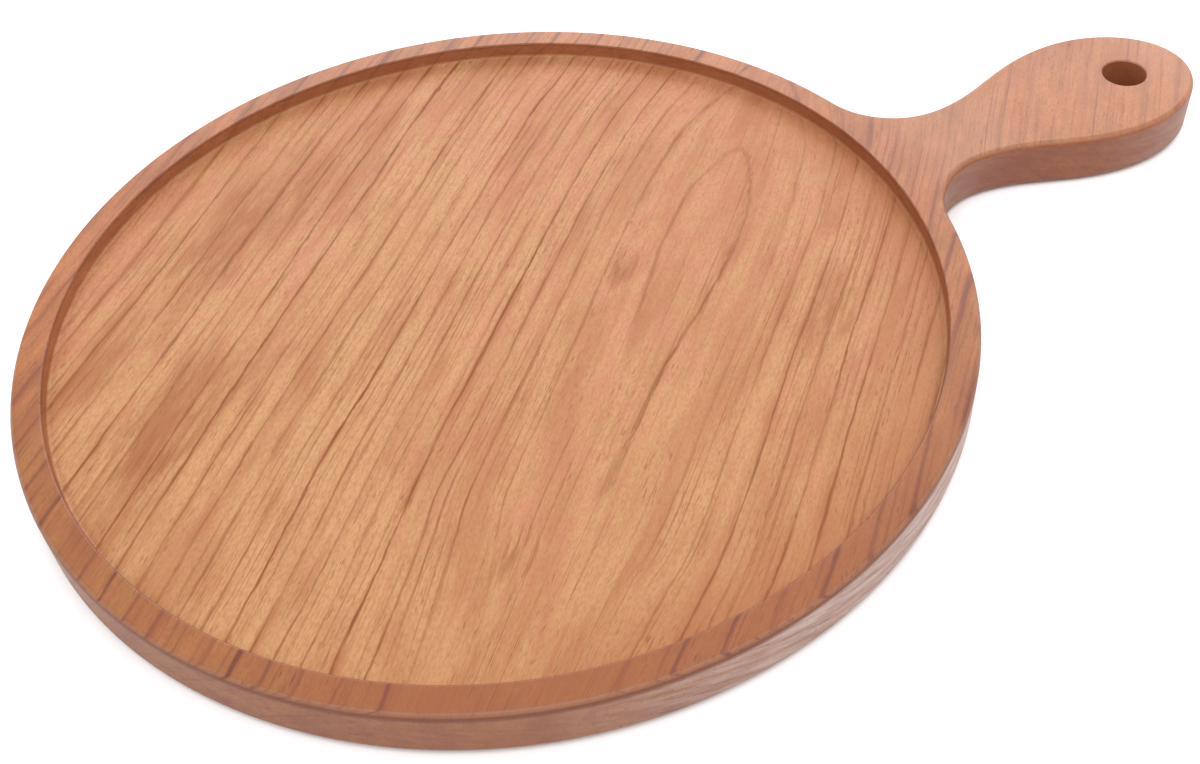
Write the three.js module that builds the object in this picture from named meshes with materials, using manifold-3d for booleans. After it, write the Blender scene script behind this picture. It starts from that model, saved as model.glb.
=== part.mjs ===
// A round wooden serving board with a handle. The blank is three staves glued
// edge to edge, sawn to one outline, with a shallow tray routed into the round
// and a hole bored through the handle's end to hang it by.
// Millimetres. +Z is up, +X runs along the handle. The origin is on the underside,
// below the middle of the round.
import * as THREE from "three";
import { mergeVertices } from "three/addons/utils/BufferGeometryUtils.js";
import Module from "manifold-3d";

// The blank
const DISC_RADIUS = 150;
const BOARD_THICKNESS = 18;
const TOP_EDGE_ROUND = 1.8;
const BOTTOM_EDGE_ROUND = 3;

// The tray and the flat-topped rim round it
const RIM_WIDTH = 9.5;
const TRAY_DEPTH = 5.5;
const TRAY_CORNER_ROUND = 1;
const RIM_INNER_ROUND = 0.8;

// The handle: a drawn-in neck that swells into a bulb with a round end
const HANDLE_REACH = 117.5;
const NECK_WIDTH = 30;
const NECK_CORNER_RADIUS = 28;
const NECK_EASE = 20;
const BULB_WIDTH = 56.6;
const BULB_END_LENGTH = 37.5;
const BULB_EASE = 24;

// The hanging hole
const HOLE_DIAMETER = 15;
const HOLE_FROM_TIP = 24;
const HOLE_EDGE_ROUND = 0.8;

// The staves run across the handle's line. The widths of the two outer ones count from
// the edges of the round, and the centre stave takes what is left between them.
const STAVE_ANGLE_DEG = 45;
const REAR_STAVE_WIDTH = 58;
const HANDLE_STAVE_WIDTH = 53;
const GLUE_LINE = 0.1;

// Facets
const CHORD = 6;
const ROUND_STEPS = 3;
const NECK_STEPS = 14;
const FLANK_STEPS = 14;
const BULB_STEPS = 30;
const HOLE_STEPS = 32;

// How far a cutter or a dividing block runs past the wood
const OVERRUN = 10;

const QUARTER = Math.PI / 2;
const trayRadius = DISC_RADIUS - RIM_WIDTH;
const trayFloor = BOARD_THICKNESS - TRAY_DEPTH;
const tip = DISC_RADIUS + HANDLE_REACH;
const holeCentre = tip - HOLE_FROM_TIP;
const discSteps = Math.ceil((2 * Math.PI * DISC_RADIUS) / CHORD);

const wasm = await Module();
wasm.setup();

// A closed geometry as a solid that can be joined and cut.
function solid(geometry) {
  const bare = new THREE.BufferGeometry();
  bare.setAttribute("position", geometry.getAttribute("position"));
  bare.setIndex(geometry.getIndex());
  const merged = mergeVertices(bare, 1e-4);
  const mesh = new wasm.Mesh({
    numProp: 3,
    vertProperties: merged.getAttribute("position").array,
    triVerts: new Uint32Array(merged.getIndex().array),
  });
  return new wasm.Manifold(mesh);
}

function geometryOf(body) {
  const mesh = body.getMesh();
  const geometry = new THREE.BufferGeometry();
  geometry.setAttribute("position", new THREE.BufferAttribute(mesh.vertProperties, 3));
  geometry.setIndex(new THREE.BufferAttribute(mesh.triVerts, 1));
  geometry.computeVertexNormals();
  return geometry;
}

// The points of an arc of a circle, as radius and height in a turned profile.
function roundPoints(centreR, centreZ, radius, from, to) {
  return new THREE.EllipseCurve(centreR, centreZ, radius, radius, from, to, to < from).getPoints(ROUND_STEPS);
}

// A body turned about an upright axis at the given X.
function turned(profile, steps, x) {
  const geometry = new THREE.LatheGeometry(profile, steps);
  geometry.rotateX(QUARTER);
  geometry.translate(x, 0, 0);
  return solid(geometry);
}

// The sawn outline, seen from above: round the handle's end, along one flank, into the
// neck, round the disc and back along the other flank.
function outline() {
  const halfNeck = NECK_WIDTH / 2;
  const halfBulb = BULB_WIDTH / 2;
  const widest = tip - BULB_END_LENGTH;
  const neckCentreY = halfNeck + NECK_CORNER_RADIUS;
  const neckX = Math.sqrt((DISC_RADIUS + NECK_CORNER_RADIUS) ** 2 - neckCentreY ** 2);
  const joinAngle = Math.atan2(neckCentreY, neckX);

  const bulbEnd = new THREE.EllipseCurve(widest, 0, BULB_END_LENGTH, halfBulb, -QUARTER, QUARTER);
  const flank = new THREE.CubicBezierCurve(
    new THREE.Vector2(widest, halfBulb),
    new THREE.Vector2(widest - BULB_EASE, halfBulb),
    new THREE.Vector2(neckX + NECK_EASE, halfNeck),
    new THREE.Vector2(neckX, halfNeck),
  );
  const neck = new THREE.EllipseCurve(
    neckX, neckCentreY, NECK_CORNER_RADIUS, NECK_CORNER_RADIUS, -QUARTER, joinAngle - Math.PI, true,
  );
  const disc = new THREE.EllipseCurve(0, 0, DISC_RADIUS, DISC_RADIUS, joinAngle, 2 * Math.PI - joinAngle);

  const oneFlank = [...flank.getPoints(FLANK_STEPS).slice(1), ...neck.getPoints(NECK_STEPS).slice(1)];
  const otherFlank = oneFlank.map((p) => new THREE.Vector2(p.x, -p.y)).reverse();
  const points = [
    ...bulbEnd.getPoints(BULB_STEPS),
    ...oneFlank,
    ...disc.getPoints(discSteps).slice(1, -1),
    ...otherFlank,
  ];
  return new THREE.Shape(points);
}

// The outline as a slab from one height to another, with both edges rounded over.
function slab(low, high, edgeRound) {
  const geometry = new THREE.ExtrudeGeometry(outline(), {
    depth: high - low - 2 * edgeRound,
    bevelEnabled: true,
    bevelThickness: edgeRound,
    bevelSize: edgeRound,
    bevelOffset: -edgeRound,
    bevelSegments: ROUND_STEPS,
  });
  geometry.translate(0, 0, low + edgeRound);
  return solid(geometry);
}

// The blank has a small round along its upper edge and a larger one along its lower edge.
function blank() {
  const upper = slab(-OVERRUN, BOARD_THICKNESS, TOP_EDGE_ROUND);
  const lower = slab(0, BOARD_THICKNESS + OVERRUN, BOTTOM_EDGE_ROUND);
  return upper.intersect(lower);
}

// The tray's cutter: a flat floor, a coved corner, an upright wall and a softened rim edge.
function trayCutter() {
  const above = BOARD_THICKNESS + OVERRUN;
  const mouth = trayRadius + RIM_INNER_ROUND;
  const profile = [
    new THREE.Vector2(0, trayFloor),
    ...roundPoints(
      trayRadius - TRAY_CORNER_ROUND, trayFloor + TRAY_CORNER_ROUND, TRAY_CORNER_ROUND, -QUARTER, 0,
    ),
    ...roundPoints(mouth, BOARD_THICKNESS - RIM_INNER_ROUND, RIM_INNER_ROUND, Math.PI, QUARTER),
    new THREE.Vector2(mouth, above),
    new THREE.Vector2(0, above),
  ];
  return turned(profile, discSteps, 0);
}

// The hole's cutter: a straight bore that flares where both of its edges are softened.
function holeCutter() {
  const boreRadius = HOLE_DIAMETER / 2;
  const mouth = boreRadius + HOLE_EDGE_ROUND;
  const profile = [
    new THREE.Vector2(0, -OVERRUN),
    new THREE.Vector2(mouth, -OVERRUN),
    ...roundPoints(mouth, HOLE_EDGE_ROUND, HOLE_EDGE_ROUND, 3 * QUARTER, Math.PI),
    ...roundPoints(mouth, BOARD_THICKNESS - HOLE_EDGE_ROUND, HOLE_EDGE_ROUND, Math.PI, QUARTER),
    new THREE.Vector2(mouth, BOARD_THICKNESS + OVERRUN),
    new THREE.Vector2(0, BOARD_THICKNESS + OVERRUN),
  ];
  return turned(profile, HOLE_STEPS, holeCentre);
}

// The block of space that one stave comes from, between two distances across the grain.
function staveBlock(near, far) {
  const length = 2 * (tip + OVERRUN);
  const geometry = new THREE.BoxGeometry(length, far - near, BOARD_THICKNESS + 2 * OVERRUN);
  geometry.translate(0, (near + far) / 2, BOARD_THICKNESS / 2);
  geometry.rotateZ(THREE.MathUtils.degToRad(STAVE_ANGLE_DEG));
  return solid(geometry);
}

const board = blank().subtract(trayCutter()).subtract(holeCutter());
const rearJoint = DISC_RADIUS - REAR_STAVE_WIDTH;
const frontJoint = HANDLE_STAVE_WIDTH - DISC_RADIUS;
const halfGlue = GLUE_LINE / 2;

const staves = [
  { name: "rear_stave", near: rearJoint + halfGlue, far: DISC_RADIUS + OVERRUN, colour: 0xc98f5e },
  { name: "centre_stave", near: frontJoint + halfGlue, far: rearJoint - halfGlue, colour: 0xcc9160 },
  { name: "handle_stave", near: -tip - OVERRUN, far: frontJoint - halfGlue, colour: 0xc88858 },
];

const servingBoard = new THREE.Group();
for (const stave of staves) {
  const geometry = geometryOf(board.intersect(staveBlock(stave.near, stave.far)));
  const oiledWood = new THREE.MeshStandardMaterial({ color: stave.colour, roughness: 0.5, metalness: 0 });
  const mesh = new THREE.Mesh(geometry, oiledWood);
  mesh.name = stave.name;
  servingBoard.add(mesh);
}

export default servingBoard;
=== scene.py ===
import math

import bpy
from mathutils import Matrix, Vector


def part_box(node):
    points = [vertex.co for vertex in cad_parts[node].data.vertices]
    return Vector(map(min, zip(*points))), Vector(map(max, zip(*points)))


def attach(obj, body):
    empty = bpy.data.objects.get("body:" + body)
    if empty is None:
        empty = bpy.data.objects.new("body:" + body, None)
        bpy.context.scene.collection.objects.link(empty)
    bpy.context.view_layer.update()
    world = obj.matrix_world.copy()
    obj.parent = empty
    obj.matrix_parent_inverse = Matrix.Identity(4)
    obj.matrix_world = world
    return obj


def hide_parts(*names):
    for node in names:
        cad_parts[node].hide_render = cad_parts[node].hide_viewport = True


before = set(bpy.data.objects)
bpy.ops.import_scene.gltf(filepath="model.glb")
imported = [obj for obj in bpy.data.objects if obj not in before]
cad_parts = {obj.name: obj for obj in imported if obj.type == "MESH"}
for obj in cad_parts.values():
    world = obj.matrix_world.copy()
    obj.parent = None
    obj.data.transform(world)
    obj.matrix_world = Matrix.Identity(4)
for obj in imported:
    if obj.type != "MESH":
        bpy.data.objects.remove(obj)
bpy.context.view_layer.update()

# The panel. Staves of a close-grained red-brown hardwood are glued edge to edge into one flat
# panel, which is sawn to the outline of the round and its handle. Both edges are rounded over,
# the lower one more than the upper one.
mm = 0.001
disc_radius = -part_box("rear_stave")[0].x
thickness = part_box("centre_stave")[1].z
handle_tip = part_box("handle_stave")[1].x
half_neck = 15 * mm
neck_radius = 28 * mm
neck_ease = 20 * mm
half_bulb = 28.3 * mm
bulb_end = 37.5 * mm
bulb_ease = 24 * mm
upper_round = 1.8 * mm
lower_round = 3 * mm
outline_steps = 60
round_steps = 6
touching = 0.01 * mm
quarter_turn = math.radians(90)


def arc_reach(radius, turn):
    """How far a curve's handles reach so that they draw an arc of a circle."""
    return radius * 4 / 3 * math.tan(turn / 4)


def choose_edges(piece, wanted):
    """Leaves the active piece in edit mode with only the edges selected whose two ends are wanted."""
    bpy.ops.object.mode_set(mode="EDIT")
    bpy.ops.mesh.select_mode(type="EDGE")
    bpy.ops.mesh.select_all(action="DESELECT")
    bpy.ops.object.mode_set(mode="OBJECT")
    points = piece.data.vertices
    for edge in piece.data.edges:
        edge.select = all(wanted(points[end].co) for end in edge.vertices)
    bpy.ops.object.mode_set(mode="EDIT")


def round_over(piece, radius, steps, wanted):
    """Rounds the wanted edges of the active piece."""
    choose_edges(piece, wanted)
    bpy.ops.mesh.bevel(offset=radius, segments=steps, affect="EDGES")
    bpy.ops.object.mode_set(mode="OBJECT")


# Half of the outline, from the handle's tip round to the far side of the disc. Each knot has
# a place, a heading, and how far its curve handles reach back and on.
bulb_widest = handle_tip - bulb_end
neck_height = half_neck + neck_radius
neck_x = math.sqrt((disc_radius + neck_radius) ** 2 - neck_height ** 2)
join_angle = math.atan2(neck_height, neck_x)
neck_reach = arc_reach(neck_radius, quarter_turn - join_angle)
join_reach = arc_reach(disc_radius, quarter_turn - join_angle)
disc_reach = arc_reach(disc_radius, quarter_turn)
join = disc_radius * Vector((math.cos(join_angle), math.sin(join_angle)))
end_reach_across = arc_reach(half_bulb, quarter_turn)
end_reach_along = arc_reach(bulb_end, quarter_turn)
half_outline = [
    (Vector((handle_tip, 0)), quarter_turn, end_reach_across, end_reach_across),
    (Vector((bulb_widest, half_bulb)), math.pi, end_reach_along, bulb_ease),
    (Vector((neck_x, half_neck)), math.pi, neck_ease, neck_reach),
    (join, join_angle + quarter_turn, neck_reach, join_reach),
    (Vector((0, disc_radius)), math.pi, join_reach, disc_reach),
    (Vector((-disc_radius, 0)), 3 * quarter_turn, disc_reach, disc_reach),
]
other_half = [
    (Vector((place.x, -place.y)), math.pi - heading, reach_on, reach_back)
    for place, heading, reach_back, reach_on in reversed(half_outline[1:-1])
]
knots = half_outline + other_half

bpy.ops.object.select_all(action="DESELECT")
bpy.ops.curve.primitive_bezier_circle_add(radius=disc_radius)
panel = bpy.context.object
panel.name = "panel"
drawn = panel.data.splines[0].bezier_points
drawn.add(len(knots) - len(drawn))
for knot, (place, heading, reach_back, reach_on) in zip(drawn, knots):
    ahead = Vector((math.cos(heading), math.sin(heading), 0))
    knot.handle_left_type = "FREE"
    knot.handle_right_type = "FREE"
    knot.co = place.to_3d()
    knot.handle_left = knot.co - ahead * reach_back
    knot.handle_right = knot.co + ahead * reach_on
panel.data.resolution_u = outline_steps
bpy.ops.object.convert(target="MESH")

bpy.ops.object.mode_set(mode="EDIT")
bpy.ops.mesh.select_all(action="SELECT")
bpy.ops.mesh.remove_doubles(threshold=touching)
bpy.ops.mesh.edge_face_add()
bpy.ops.mesh.extrude_region_move(TRANSFORM_OT_translate={"value": (0, 0, thickness)})
bpy.ops.mesh.select_all(action="SELECT")
bpy.ops.mesh.normals_make_consistent(inside=False)
bpy.ops.object.mode_set(mode="OBJECT")
round_over(panel, upper_round, round_steps, lambda point: point.z > thickness - touching)
round_over(panel, lower_round, round_steps, lambda point: point.z < touching)

# The tray. A router takes the middle of the round down to a flat floor and leaves a flat-topped
# rim. The floor meets the upright wall in a small cove, and the rim's inner edge is eased.
rim_width = 9.5 * mm
tray_depth = 5.5 * mm
tray_corner = 1 * mm
rim_ease = 0.8 * mm
tray_facets = 360
ease_steps = 4
overrun = 10 * mm
tray_radius = disc_radius - rim_width
tray_floor = thickness - tray_depth


def pick(piece):
    """Makes a piece the active one, and the only one that is selected."""
    bpy.ops.object.select_all(action="DESELECT")
    bpy.context.view_layer.objects.active = piece
    piece.select_set(True)


def cut_away(piece, cutter):
    """Takes the cutter's shape out of the piece, and the cutter out of the scene."""
    cut = piece.modifiers.new("cut", "BOOLEAN")
    cut.operation = "DIFFERENCE"
    cut.solver = "EXACT"
    cut.object = cutter
    pick(piece)
    bpy.ops.object.modifier_apply(modifier=cut.name)
    bpy.data.objects.remove(cutter)


def on_rim_edge(point):
    """True on the sharp inner edge of the rim's flat top."""
    return point.z > thickness - touching and abs(point.xy.length - tray_radius) < touching


bpy.ops.mesh.primitive_cylinder_add(
    vertices=tray_facets,
    radius=tray_radius,
    depth=tray_depth + overrun,
    location=(0, 0, tray_floor + (tray_depth + overrun) / 2),
)
tray_bit = bpy.context.object
bpy.ops.object.transform_apply()
round_over(tray_bit, tray_corner, ease_steps, lambda point: point.z < tray_floor + touching)
cut_away(panel, tray_bit)
round_over(panel, rim_ease, ease_steps, on_rim_edge)

# The hanging hole. It is bored square through the handle near its tip, on the handle's
# middle line, and both of its edges are eased.
hole_radius = 7.5 * mm
hole_from_tip = 24 * mm
hole_ease = 0.8 * mm
hole_facets = 96
hole_middle = Vector((handle_tip - hole_from_tip, 0))


def on_hole_edge(point):
    """True on the sharp edges of the hole, above and below."""
    flat = point.z > thickness - touching or point.z < touching
    return flat and abs((point.xy - hole_middle).length - hole_radius) < touching


bpy.ops.mesh.primitive_cylinder_add(
    vertices=hole_facets,
    radius=hole_radius,
    depth=thickness + 2 * overrun,
    location=(hole_middle.x, hole_middle.y, thickness / 2),
)
hole_bit = bpy.context.object
bpy.ops.object.transform_apply()
cut_away(panel, hole_bit)
round_over(panel, hole_ease, ease_steps, on_hole_edge)

# The wood. The staves are matched so well that one figure runs over all three: an arched crown in
# the middle, with growth lines that run out nearly straight on both sides, and on through the tray's
# wall into the rim and down the sides. All of it is sanded and oiled.
grain_angle = math.radians(46.5)
# The figure is worked out in millimetres along, across and up from the middle of the crown. The
# trunk's rings lie about its pith, closest together at the crown and wider outwards.
crown_middle = (55, -53.4)
pith_depth = 110
ring_packing = 26.4
ring_rate = 12.1
first_line = 0.25
# How the trunk narrows along the grain: the distance from the crown, and the square of the
# distance that the growth lines draw in there.
taper_reach = 200
taper_most = 1300
taper_knots = (
    (-200, 640), (-165, 450), (-145, 300), (-121, 125), (-88, 104), (-64, 85), (-40, 45), (-22, 10),
    (0, 0), (20, 30), (32, 85), (43, 121), (78, 500), (110, 720), (200, 1200),
)
# How dark each year's line is, counted from the crown, on the far side and on the handle's side.
far_darkness = (
    0.50, 0.65, 0.60, 0.80, 1.00, 0.40, 0.50, 0.70, 1.00, 0.40,
    0.50, 0.75, 0.45, 0.95, 0.80, 0.50, 0.85, 0.60, 0.70, 0.50,
)
near_darkness = (
    0.75, 0.30, 0.60, 0.75, 0.40, 0.70, 0.85, 0.50, 0.65, 0.50,
    0.70, 0.50, 0.60, 0.70, 0.50, 0.60, 0.50, 0.70, 0.50, 0.60,
)
# Clouds in the wood: place along and across, length, width, and how dark, or how pale below zero.
clouds = (
    (-157, 130, 30, 15, 0.6),
    (-121, 131, 38, 15, 0.9),
    (-110, 166, 32, 11, 0.5),
    (-90, 116, 45, 9, 0.5),
    (-45, 155, 45, 13, 0.9),
    (-20, 141, 36, 10, 0.6),
    (-26, -47, 26, 10, 0.9),
    (-27, 20, 13, 6, 1.0),
    (-143, 13, 15, 4, 1.0),
    (-125, 80, 65, 28, -0.9),
    (-30, 98, 85, 24, -0.6),
    (90, 105, 55, 22, -0.4),
    (-100, -25, 70, 22, -0.4),
)

figure = bpy.data.node_groups.new("wood_figure", "ShaderNodeTree")
for label in ("Pale", "Tan", "Red", "Line", "DryAndSheen"):
    figure.interface.new_socket(label, in_out="INPUT", socket_type="NodeSocketColor")
figure.interface.new_socket("DryAndSheenAmount", in_out="INPUT", socket_type="NodeSocketFloat")
figure.interface.new_socket("Colour", in_out="OUTPUT", socket_type="NodeSocketColor")
for label in ("Streak", "Height"):
    figure.interface.new_socket(label, in_out="OUTPUT", socket_type="NodeSocketFloat")
finish_inputs = figure.nodes.new("NodeGroupInput").outputs
figure_ends = figure.nodes.new("NodeGroupOutput").inputs


def wire(value, socket):
    """Links a socket to the value, or sets the value on it."""
    if isinstance(value, bpy.types.NodeSocket):
        socket.id_data.links.new(value, socket)
    else:
        socket.default_value = value


def compute(operation, *values):
    """The result of one sum."""
    node = figure.nodes.new("ShaderNodeMath")
    node.operation = operation
    for value, socket in zip(values, node.inputs):
        wire(value, socket)
    return node.outputs[0]


def compute_vector(operation, vector, other=(0, 0, 0)):
    """The results of one sum with vectors."""
    node = figure.nodes.new("ShaderNodeVectorMath")
    node.operation = operation
    wire(vector, node.inputs[0])
    wire(other, node.inputs[1])
    return node.outputs


def split(vector):
    """The three parts of a vector."""
    node = figure.nodes.new("ShaderNodeSeparateXYZ")
    wire(vector, node.inputs[0])
    return node.outputs


def moved(place, location=(0, 0, 0), rotation=(0, 0, 0), scale=(1, 1, 1)):
    """A place scaled, turned and shifted."""
    node = figure.nodes.new("ShaderNodeMapping")
    wire(place, node.inputs["Vector"])
    wire(location, node.inputs["Location"])
    wire(rotation, node.inputs["Rotation"])
    wire(scale, node.inputs["Scale"])
    return node.outputs[0]


def product(first, *others):
    """All the values multiplied together."""
    for other in others:
        first = compute("MULTIPLY", first, other)
    return first


def without(mask):
    """What a mask leaves over."""
    return compute("SUBTRACT", 1, mask)


def ease(value, low, high, start=0, end=1):
    """Goes softly from start to end as the value goes from low to high."""
    node = figure.nodes.new("ShaderNodeMapRange")
    node.interpolation_type = "SMOOTHSTEP"
    for limit, label in zip((value, low, high, start, end), node.inputs.keys()):
        wire(limit, node.inputs[label])
    return node.outputs["Result"]


def mottle(place, lengths, seed, detail=2):
    """A soft noise about 0.5, stretched to the given lengths along, across and up."""
    scale = [1 / length for length in lengths]
    noise = figure.nodes.new("ShaderNodeTexNoise")
    wire(moved(place, location=(seed, 2 * seed, 3 * seed), scale=scale), noise.inputs["Vector"])
    wire(1, noise.inputs["Scale"])
    wire(detail, noise.inputs["Detail"])
    return noise.outputs["Fac"]


def tint(amount, under, over):
    """Lays one colour over another by an amount."""
    node = figure.nodes.new("ShaderNodeMix")
    node.data_type = "RGBA"
    wire(amount, node.inputs[0])
    wire(under, node.inputs[6])
    wire(over, node.inputs[7])
    return node.outputs[2]


def chosen(place, values):
    """The value at a whole-numbered place in a list."""
    ramp = figure.nodes.new("ShaderNodeValToRGB")
    ramp.color_ramp.interpolation = "CONSTANT"
    steps = ramp.color_ramp.elements
    while len(steps) < len(values):
        steps.new(len(steps) / len(values))
    for index, value in enumerate(values):
        steps[index].position = index / len(values)
        steps[index].color = (value, value, value, 1)
    wire(compute("DIVIDE", compute("ADD", place, 0.5), len(values)), ramp.inputs["Fac"])
    return ramp.outputs["Color"]


places = figure.nodes.new("ShaderNodeTexCoord").outputs
spot = places["Object"]
grain_spot = moved(
    spot,
    location=(-crown_middle[0], -crown_middle[1], -tray_floor / mm),
    rotation=(0, 0, -grain_angle),
    scale=(1 / mm, 1 / mm, 1 / mm),
)
along, across, up = split(grain_spot)
off_crown = compute("ABSOLUTE", across)

# How far a spot is from the round's middle, how level the surface is, and how much end grain shows.
flat_spot = compute_vector("MULTIPLY", spot, (1 / mm, 1 / mm, 0))["Vector"]
radius = compute_vector("LENGTH", flat_spot)["Value"]
slope = split(places["Normal"])["Z"]
level = compute("ABSOLUTE", slope)
grain_way = (math.cos(grain_angle), math.sin(grain_angle), 0)
facing_grain = compute_vector("DOT_PRODUCT", places["Normal"], grain_way)["Value"]
end_grain = product(facing_grain, facing_grain)

# Where a spot lies: past the tray's wall, by the round's edge, past that edge, or on the handle.
tray_edge = tray_radius / mm
round_edge = disc_radius / mm
tip_edge = handle_tip / mm
past_tray = ease(radius, tray_edge - 1, tray_edge + 1)
by_edge = ease(radius, round_edge - 6, round_edge - 3)
past_round = ease(radius, round_edge + 1, round_edge + 6)
on_handle = ease(radius, round_edge - 4, round_edge + 15)

# The trunk's taper, which closes the growth lines into an arch on either side of the crown.
narrowing = figure.nodes.new("ShaderNodeFloatCurve")
bends = narrowing.mapping.curves[0].points
while len(bends) < len(taper_knots):
    bends.new(0.5, 0.5)
for bend, (place, draw_in) in zip(bends, taper_knots):
    bend.location = (0.5 + place / taper_reach / 2, draw_in / taper_most)
    bend.handle_type = "AUTO_CLAMPED"
narrowing.mapping.update()
wire(compute("MULTIPLY_ADD", along, 0.5 / taper_reach, 0.5), narrowing.inputs["Value"])
taper = product(narrowing.outputs[0], taper_most)

# The fibres bend with the growth lines where these draw in, and less so close to the crown.
bend_limit = 1250
beside = compute("MAXIMUM", product(across, across, 2), bend_limit)
lane = compute("MULTIPLY_ADD", compute("DIVIDE", taper, beside), across, across)
fibre_way = figure.nodes.new("ShaderNodeCombineXYZ")
for value, socket in zip((along, lane, up), fibre_way.inputs):
    wire(value, socket)
fibres = fibre_way.outputs[0]

# Growth outwards from the pith, counted from the crown. It wanders slowly and quickly and frays,
# each by a reach that grows with the distance from the crown.
from_pith = compute("ADD", up, pith_depth)
pith_square = compute("MULTIPLY_ADD", across, across, taper)
pith_square = compute("MULTIPLY_ADD", from_pith, from_pith, pith_square)
growth = compute("SUBTRACT", compute("SQRT", pith_square), pith_depth)
wanders = (
    (grain_spot, (120, 30, 30), 3.1, 0.025, 0.2),
    (grain_spot, (30, 7, 7), 7.7, 0.007, 0.12),
    (fibres, (6, 0.9, 0.9), 8.8, 0.006, 0.08),
)
for place, lengths, seed, reach_growth, reach_at_crown in wanders:
    wander = compute("SUBTRACT", mottle(place, lengths, seed), 0.5)
    reach = compute("MULTIPLY_ADD", off_crown, reach_growth, reach_at_crown)
    growth = compute("MULTIPLY_ADD", wander, reach, growth)

# The year of growth, and the distance from the nearest dark line between two years.
year = compute("MULTIPLY_ADD", growth, 1 / ring_packing, 1)
year = compute("LOGARITHM", compute("MAXIMUM", year, 0.05), math.e)
year = compute("MULTIPLY_ADD", year, ring_rate, -first_line)
nearest_year = compute("ROUND", year)
ring_width = compute("MULTIPLY_ADD", growth, 1 / ring_rate, ring_packing / ring_rate)
from_line = product(compute("SUBTRACT", year, nearest_year), ring_width)
counted = compute("ABSOLUTE", nearest_year)
far_side = ease(across, -3, 3)
darkness = tint(far_side, chosen(counted, near_darkness), chosen(counted, far_darkness))
# Behind the crown the innermost line shows on the handle's side only. Lines also fade where they
# close far along the grain, and at the tip of the arch.
innermost = ease(counted, 0.2, 0.8, 1, 0)
behind = product(ease(across, -6, 1), ease(along, -62, -42, 1, 0), innermost)
closing = product(ease(along, -155, -125, 0.85, 0), ease(off_crown, 12, 30, 1, 0))
arch_tip = product(ease(along, 15, 30, 0, 0.5), ease(off_crown, 1, 8, 1, 0))
for fading in (behind, closing, arch_tip):
    darkness = product(darkness, without(fading))

# The dark lines, fading in and out along the grain, with a red shade on both sides and late wood
# that shades into them. They are wider on the rim, and faint on the handle and where the surface
# turns down.
line_width = compute("MULTIPLY_ADD", off_crown, 0.0036, 0.034)
line_width = product(line_width, compute("MULTIPLY_ADD", past_tray, 0.5, 1))
swell = ease(mottle(grain_spot, (22, 2.5, 2.5), 5.5), 0.34, 0.66, 0.6, 1.5)
off_line = compute("DIVIDE", compute("ABSOLUTE", from_line), product(line_width, swell))
fade = ease(mottle(grain_spot, (70, 8, 8), 1.3), 0.30, 0.60, 0.55, 1)
turned_down = ease(level, 0.4, 0.95, 0.35, 1)
faint = product(compute("MULTIPLY_ADD", on_handle, -0.65, 1), turned_down)
strength = product(darkness, fade, faint)
dashes = ease(mottle(fibres, (15, 1.0, 1.0), 3.7), 0.34, 0.60, 0.62, 1)
line = product(ease(off_line, 0.2, 1.1, 1, 0), strength, dashes)
patches = ease(mottle(grain_spot, (24, 5, 5), 2.2), 0.40, 0.68, 0.1, 1)
shade = product(ease(off_line, 0.3, 4.0, 1, 0), strength, patches)
late_wood = ease(compute("DIVIDE", from_line, ring_width), -0.4, 0)
late_wood = product(late_wood, compute("LESS_THAN", from_line, 0), strength, patches)

# Two thinner lines between each year and the next, which come and go away from the crown.
third = product(year, 3)
off_third = compute("ABSOLUTE", compute("SUBTRACT", third, compute("ROUND", third)))
off_third = compute("DIVIDE", product(off_third, ring_width, 1 / 3), line_width)
come_and_go = ease(mottle(grain_spot, (55, 4, 4), 6.9), 0.42, 0.62)
come_and_go = product(come_and_go, ease(off_crown, 18, 40))
thin = product(ease(off_third, 0.1, 0.9, 1, 0), come_and_go, dashes, faint)

# Streaks, grit, fine dark lines and pores that run with the fibres.
streak = mottle(fibres, (60, 1.3, 1.3), 5.2, detail=3)
grit = mottle(fibres, (1.6, 0.6, 0.6), 4.9)
fine = ease(mottle(fibres, (80, 0.6, 0.6), 6.1), 0.58, 0.70)
close_set = ease(mottle(fibres, (40, 9, 9), 4.4), 0.36, 0.58, 0.25, 1)
fine = product(fine, dashes, close_set, turned_down)
pores = ease(mottle(fibres, (5, 0.5, 0.5), 9.4, detail=1), 0.63, 0.73)
pores = product(pores, ease(mottle(fibres, (45, 8, 8), 8.3), 0.42, 0.62, 0.1, 1))

# Blotchy changes of colour: yellow wood, more of it towards the front and less at the far rim,
# dusky drifts, and the clouds, which are drawn out into fingers and have ragged edges.
broad = mottle(fibres, (90, 36, 36), 2.6)
blotch = mottle(fibres, (11, 5, 5), 7.1, detail=3)
yellow = compute("MULTIPLY_ADD", broad, 1.6, product(along, -1 / 300))
yellow = compute("MULTIPLY_ADD", blotch, 3, yellow)
yellow = compute("SUBTRACT", yellow, ease(across, 165, 200, 0, 0.6))
yellow = ease(yellow, 1.6, 3.0)
drift = mottle(fibres, (24, 5, 5), 6.6, detail=4)
dusky = mottle(fibres, (55, 14, 14), 1.6)
fingers = compute("SUBTRACT", mottle(fibres, (26, 3.5, 3.5), 4.1, detail=4), 0.5)
finger_length = 26
beside_cloud = compute("MULTIPLY_ADD", fingers, finger_length, across)
cloudy = 0
for cloud_along, cloud_across, length, width, dark in clouds:
    run = product(compute("SUBTRACT", along, cloud_along), 1 / length)
    side = product(compute("SUBTRACT", beside_cloud, cloud_across), 1 / width)
    from_cloud = compute("MULTIPLY_ADD", run, run, product(side, side))
    cloudy = compute("MULTIPLY_ADD", ease(from_cloud, 0, 1, 1, 0), dark, cloudy)
ragged = ease(mottle(fibres, (14, 2.5, 2.5), 1.9, detail=5), 0.36, 0.62, 0.35, 1)
dark_cloud = product(compute("MAXIMUM", cloudy, 0), ragged)
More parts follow.
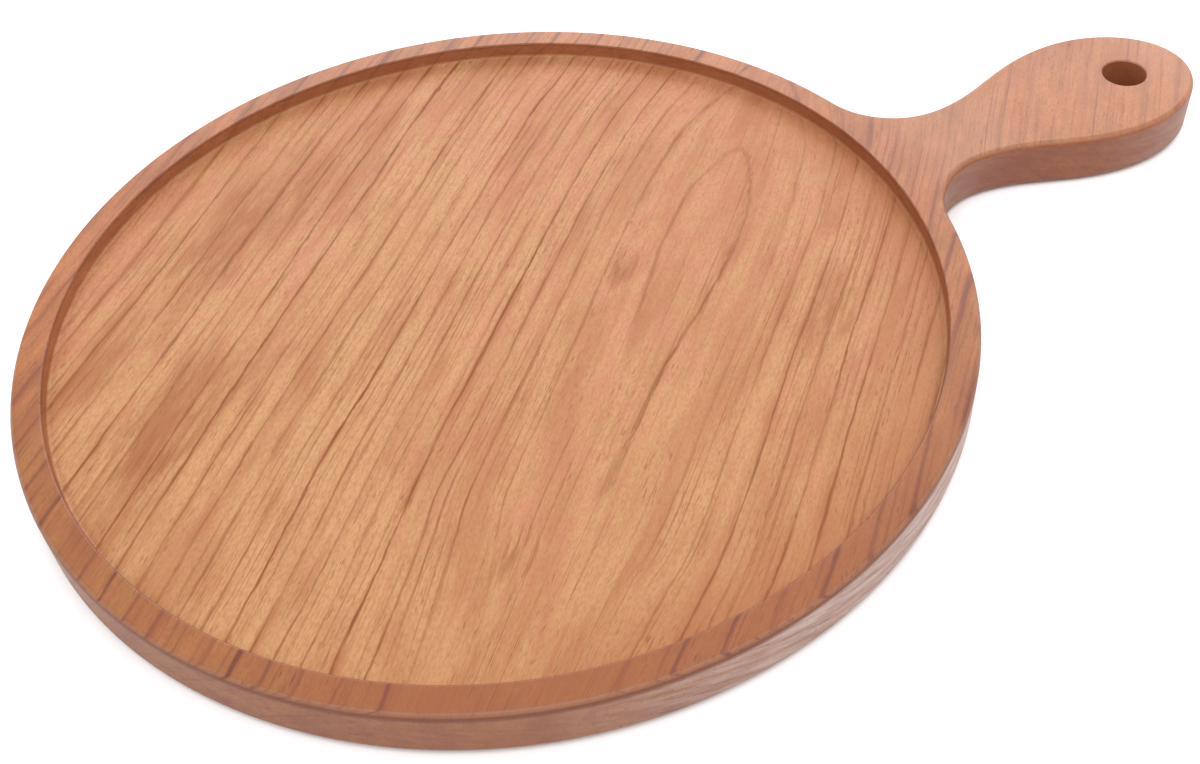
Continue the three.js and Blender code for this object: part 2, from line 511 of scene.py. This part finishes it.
pale_cloud = compute("MAXIMUM", product(cloudy, -1), 0)

# Redder wood: far across the round, on the handle's side, and on the rim's level top at the front. On the
# handle's side a painted shade also darkens the floor along the tray's wall.
far_red = product(ease(across, 105, 160), ease(across, 190, 215, 1, 0), ease(along, -90, 0))
near_red = ease(across, 25, 65, 1, 0)
wall_shade = product(ease(radius, tray_edge - 28.5, tray_edge - 2.5), without(past_tray))
wall_shade = product(wall_shade, ease(across, -40, 15, 1, 0))
front_rim = product(past_tray, ease(level, 0.4, 0.9), ease(along, -110, -60, 1, 0))
front_rim = product(front_rim, ease(across, 25, 90, 1, 0))

# The round's sides along the grain go grey, partly as dry wood and partly as a painted sheen, in
# streaks that lean a little, with oily streaks between them. The handle's sides get less of the grey,
# and a painted shade makes them redder.
lean = math.radians(-9)
side_spot = moved(spot, rotation=(0, lean, 0))
grey_streaks = ease(mottle(side_spot, (26 * mm, 26 * mm, 2.2 * mm), 3.3, detail=4), 0.36, 0.60, 0.5, 1)
dry_and_sheen = product(ease(end_grain, 0.3, 0.9, 1, 0), compute("MULTIPLY_ADD", past_round, -0.7, 1))
dry_and_sheen = product(dry_and_sheen, grey_streaks, finish_inputs["DryAndSheenAmount"])
upright = ease(level, 0.3, 0.7, 1, 0)
oily = ease(mottle(side_spot, (11 * mm, 11 * mm, 1.6 * mm), 2.9, detail=4), 0.44, 0.64)
oily = product(oily, upright)
# Painted shade on the handle's upright sides, which face away from the light.
handle_side_shade = product(ease(radius, round_edge + 1, round_edge + 10), upright)

# A darker band lies just below the round's upper edge, and a painted shade darkens the rim's inner edge.
# A painted highlight makes the upper edge paler, and a painted sheen makes the level tops of the neck
# and of the handle's tip paler.
under_edge_dark = product(ease(up, 2.4, 3.4), ease(slope, 0.3, 0.8, 1, 0), by_edge, without(past_round))
edge_highlight = product(ease(slope, 0.3, 0.7), by_edge, ease(level, 0.90, 0.985, 1, 0))
ease_foot = (tray_depth - rim_ease) / mm
ease_end = tray_edge + rim_ease / mm
# Painted shade on the rim's eased inner edge, so that it runs on into the dark wall.
inner_edge_shade = product(ease(up, ease_foot - 0.2, ease_foot + 0.2), ease(level, 0.9, 0.99, 1, 0))
inner_edge_shade = product(inner_edge_shade, ease(radius, ease_end, ease_end + 0.5, 1, 0))
# Painted sheen on the level tops of the handle's neck and tip.
neck = product(on_handle, ease(radius, round_edge + 30, round_edge + 50, 1, 0))
handle_sheen = compute("MAXIMUM", neck, ease(radius, tip_edge - 21.5, tip_edge - 5.5))
handle_sheen = product(handle_sheen, ease(level, 0.8, 1))

# What is laid over the yellow and tan wood, from the bottom up: a mask, its weight and its colour.
layers = (
    (pale_cloud, 1, "Pale"),
    (far_red, 0.2, "Red"),
    (near_red, 0.12, "Red"),
    # Painted shade on the floor along the tray's wall.
    (wall_shade, 0.5, "Red"),
    (front_rim, 0.45, "Red"),
    (ease(dusky, 0.45, 0.68), 0.40, "Red"),
    (ease(drift, 0.46, 0.74), 0.36, "Red"),
    (ease(streak, 0.48, 0.74), 0.28, "Red"),
    (ease(grit, 0.36, 0.70), 0.40, "Red"),
    (late_wood, 0.40, "Red"),
    (shade, 0.85, "Red"),
    (dark_cloud, 0.65, "Red"),
    (dark_cloud, 0.25, "Line"),
    (end_grain, 0.30, "Red"),
    # Dry grey and painted sheen on the sides, oily streaks, painted shade on the handle's sides and the
    # rim's inner edge, the dark band under the upper edge, a painted highlight on that edge, and painted
    # sheen on the handle.
    (dry_and_sheen, 1, "DryAndSheen"),
    (oily, 0.32, "Red"),
    (handle_side_shade, 0.25, "Red"),
    (under_edge_dark, 0.6, "Line"),
    (inner_edge_shade, 0.4, "Line"),
    (edge_highlight, 0.12, "DryAndSheen"),
    (handle_sheen, 0.07, "DryAndSheen"),
    (fine, 0.55, "Line"),
    (thin, 0.45, "Line"),
    (line, 1, "Line"),
    (pores, 0.6, "Line"),
)
colour = tint(yellow, finish_inputs["Tan"], finish_inputs["Pale"])
for mask, weight, label in layers:
    colour = tint(product(mask, weight), colour, finish_inputs[label])
wire(colour, figure_ends["Colour"])
wire(streak, figure_ends["Streak"])
wire(without(compute("MULTIPLY_ADD", line, 0.4, pores)), figure_ends["Height"])

# The pale grey of dry wood. It is also laid on as a painted sheen on the sides and the handle's top, and
# as a painted highlight on the round's upper edge.
dry_and_sheen_colour = (0.450, 0.335, 0.295)
pore_depth = 0.12 * mm
pore_strength = 0.4


def wood_finish(name, colours, dry_and_sheen_amount, smoothest, roughest, gloss):
    """A finish of the wood in its own colours, with the surface's share of dry grey and painted sheen,
    smoothness and gloss.
    """
    finish = bpy.data.materials.new(name)
    finish.use_nodes = True
    nodes = finish.node_tree.nodes
    surface = nodes["Principled BSDF"]
    wood = nodes.new("ShaderNodeGroup")
    wood.node_tree = figure
    for label, colour in colours.items():
        wire((*colour, 1), wood.inputs[label])
    wire((*dry_and_sheen_colour, 1), wood.inputs["DryAndSheen"])
    wire(dry_and_sheen_amount, wood.inputs["DryAndSheenAmount"])
    relief = nodes.new("ShaderNodeBump")
    wire(pore_strength, relief.inputs["Strength"])
    wire(pore_depth, relief.inputs["Distance"])
    wire(wood.outputs["Height"], relief.inputs["Height"])
    sheen = nodes.new("ShaderNodeMapRange")
    wire(wood.outputs["Streak"], sheen.inputs["Value"])
    wire(smoothest, sheen.inputs["To Min"])
    wire(roughest, sheen.inputs["To Max"])
    wire(wood.outputs["Colour"], surface.inputs["Base Color"])
    wire(sheen.outputs["Result"], surface.inputs["Roughness"])
    wire(relief.outputs["Normal"], surface.inputs["Normal"])
    wire(gloss, surface.inputs["Specular IOR Level"])
    return finish


oiled_colours = {
    "Pale": (0.250, 0.098, 0.027),
    "Tan": (0.350, 0.126, 0.043),
    "Red": (0.190, 0.047, 0.015),
    "Line": (0.105, 0.024, 0.012),
}
side_colours = {
    "Pale": (0.330, 0.142, 0.052),
    "Tan": (0.270, 0.107, 0.055),
    "Red": (0.180, 0.054, 0.032),
    "Line": (0.095, 0.020, 0.008),
}
tray_colours = {
    "Pale": (0.388, 0.208, 0.090),
    "Tan": (0.400, 0.172, 0.092),
    "Red": (0.258, 0.082, 0.028),
    "Line": (0.150, 0.040, 0.004),
}
wall_colours = {
    "Pale": (0.345, 0.135, 0.054),
    "Tan": (0.400, 0.155, 0.070),
    "Red": (0.260, 0.078, 0.032),
    "Line": (0.120, 0.028, 0.008),
}
polished_wood = wood_finish(
    "polished_wood", oiled_colours, dry_and_sheen_amount=0, smoothest=0.38, roughest=0.52, gloss=0.30
)
side_wood = wood_finish("side_wood", side_colours, dry_and_sheen_amount=0.85, smoothest=0.44, roughest=0.60, gloss=0.30)
tray_wood = wood_finish("tray_wood", tray_colours, dry_and_sheen_amount=0, smoothest=0.52, roughest=0.66, gloss=0.22)
wall_wood = wood_finish("wall_wood", wall_colours, dry_and_sheen_amount=0, smoothest=0.58, roughest=0.72, gloss=0.15)
finishes = (polished_wood, side_wood, tray_wood, wall_wood)
upright_below = 0.5


def finish_of(face):
    """The finish on a face: the tray's floor and cove, the upright inner walls, the sides or the rest."""
    middle = face.center
    inside_tray = middle.xy.length < tray_radius + rim_ease and middle.z < thickness - touching
    if inside_tray and middle.z < tray_floor + tray_corner:
        return tray_wood
    in_hole = (middle.xy - hole_middle).length < hole_radius + touching
    if in_hole or inside_tray and middle.z < thickness - rim_ease:
        return wall_wood
    if abs(face.normal.z) < upright_below and middle.z < thickness - upper_round:
        return side_wood
    return polished_wood


for finish in finishes:
    panel.data.materials.append(finish)
for face in panel.data.polygons:
    face.material_index = finishes.index(finish_of(face))

# The three staves. The panel is divided at its glue lines, which run with the grain across the
# handle's line. The joints are planed so tight that no gap shows.
stave_angle = math.radians(45)
rear_stave_width = 58 * mm
handle_stave_width = 53 * mm
crease_angle = math.radians(35)
across_staves = Vector((-math.sin(stave_angle), math.cos(stave_angle), 0))
rear_joint = disc_radius - rear_stave_width
front_joint = handle_stave_width - disc_radius


def saw(stave, joint, keep_front):
    """Divides a stave from the panel at a joint, and keeps what lies in front of it or behind it."""
    pick(stave)
    bpy.ops.object.mode_set(mode="EDIT")
    bpy.ops.mesh.select_all(action="SELECT")
    bpy.ops.mesh.bisect(
        plane_co=across_staves * joint,
        plane_no=across_staves,
        use_fill=True,
        clear_outer=keep_front,
        clear_inner=not keep_front,
    )
    bpy.ops.object.mode_set(mode="OBJECT")


pick(panel)
bpy.ops.object.mode_set(mode="EDIT")
bpy.ops.mesh.select_all(action="SELECT")
bpy.ops.mesh.quads_convert_to_tris(ngon_method="BEAUTY")
bpy.ops.object.mode_set(mode="OBJECT")

stave_cuts = {
    "rear_stave": [(rear_joint, False)],
    "centre_stave": [(rear_joint, True), (front_joint, False)],
    "handle_stave": [(front_joint, True)],
}
for node, cuts in stave_cuts.items():
    stave = panel.copy()
    stave.data = panel.data.copy()
    stave.name = node + "_wood"
    bpy.context.collection.objects.link(stave)
    for joint, keep_front in cuts:
        saw(stave, joint, keep_front)
    bpy.ops.object.shade_smooth_by_angle(angle=crease_angle)
    flats = stave.modifiers.new("flats", "WEIGHTED_NORMAL")
    flats.keep_sharp = True
    bpy.ops.object.modifier_apply(modifier=flats.name)
    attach(stave, "root")
    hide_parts(node)
bpy.data.objects.remove(panel)

# The ground. A wide, plain white table top that the board lies on, matt and very bright. It is
# set a hair below the underside, so that the two don't share a plane.
ground_width = 30
ground_drop = 0.2 * mm
bpy.ops.mesh.primitive_plane_add(size=ground_width, location=(0, 0, -ground_drop))
ground = bpy.context.object
ground.name = "ground"
white_ground = bpy.data.materials.new("white_ground")
white_ground.use_nodes = True
cover = white_ground.node_tree.nodes["Principled BSDF"]
wire((0.90, 0.90, 0.91, 1), cover.inputs["Base Color"])
wire(0.9, cover.inputs["Roughness"])
ground.data.materials.append(white_ground)

# The light. A wide bright window low behind the board, a large soft lamp above and in front of it,
# and a white room that fills the shadows.
room_brightness = 0.85


def soft_lamp(name, place, size, power):
    """A lit rectangle that faces the middle of the board."""
    lamp = bpy.data.lights.new(name, "AREA")
    lamp.shape = "RECTANGLE"
    lamp.size, lamp.size_y = size
    lamp.energy = power
    holder = bpy.data.objects.new(name, lamp)
    holder.location = place
    holder.rotation_euler = (-holder.location).to_track_quat("-Z", "Y").to_euler()
    bpy.context.collection.objects.link(holder)


soft_lamp("window", place=(1.06, 1.70, 1.10), size=(3.0, 1.1), power=54)
soft_lamp("overhead", place=(-0.1, -0.45, 1.75), size=(2.2, 1.8), power=33)
room = bpy.data.worlds.new("room")
room.use_nodes = True
walls = room.node_tree.nodes["Background"]
wire((1, 1, 1, 1), walls.inputs["Color"])
wire(room_brightness, walls.inputs["Strength"])
bpy.context.scene.world = room
bpy.context.scene.view_settings.view_transform = "Standard"

# The camera. It looks down at the front of the round from a little to the left of the handle's
# line, close enough that the near side looms, and is tipped slightly to one side.
view_azimuth = math.radians(-21.053)
view_elevation = math.radians(46.37)
view_roll = math.radians(-5.106)
view_distance = 451.57 * mm
view_aim = Vector((20.195 * mm, -33.69 * mm, 0))
view_back = Vector((
    math.sin(view_azimuth) * math.cos(view_elevation),
    -math.cos(view_azimuth) * math.cos(view_elevation),
    math.sin(view_elevation),
))
level_right = Vector((0, 0, 1)).cross(view_back).normalized()
level_up = view_back.cross(level_right)
view_right = level_right * math.cos(view_roll) + level_up * math.sin(view_roll)
view_up = view_back.cross(view_right)
eye = bpy.data.cameras.new("camera")
eye.sensor_width = 36
eye.lens = 43.335
eye.clip_start = 0.01
camera = bpy.data.objects.new("camera", eye)
turned = Matrix((view_right, view_up, view_back)).transposed().to_4x4()
camera.matrix_world = Matrix.Translation(view_aim + view_back * view_distance) @ turned
bpy.context.collection.objects.link(camera)
bpy.context.scene.camera = camera
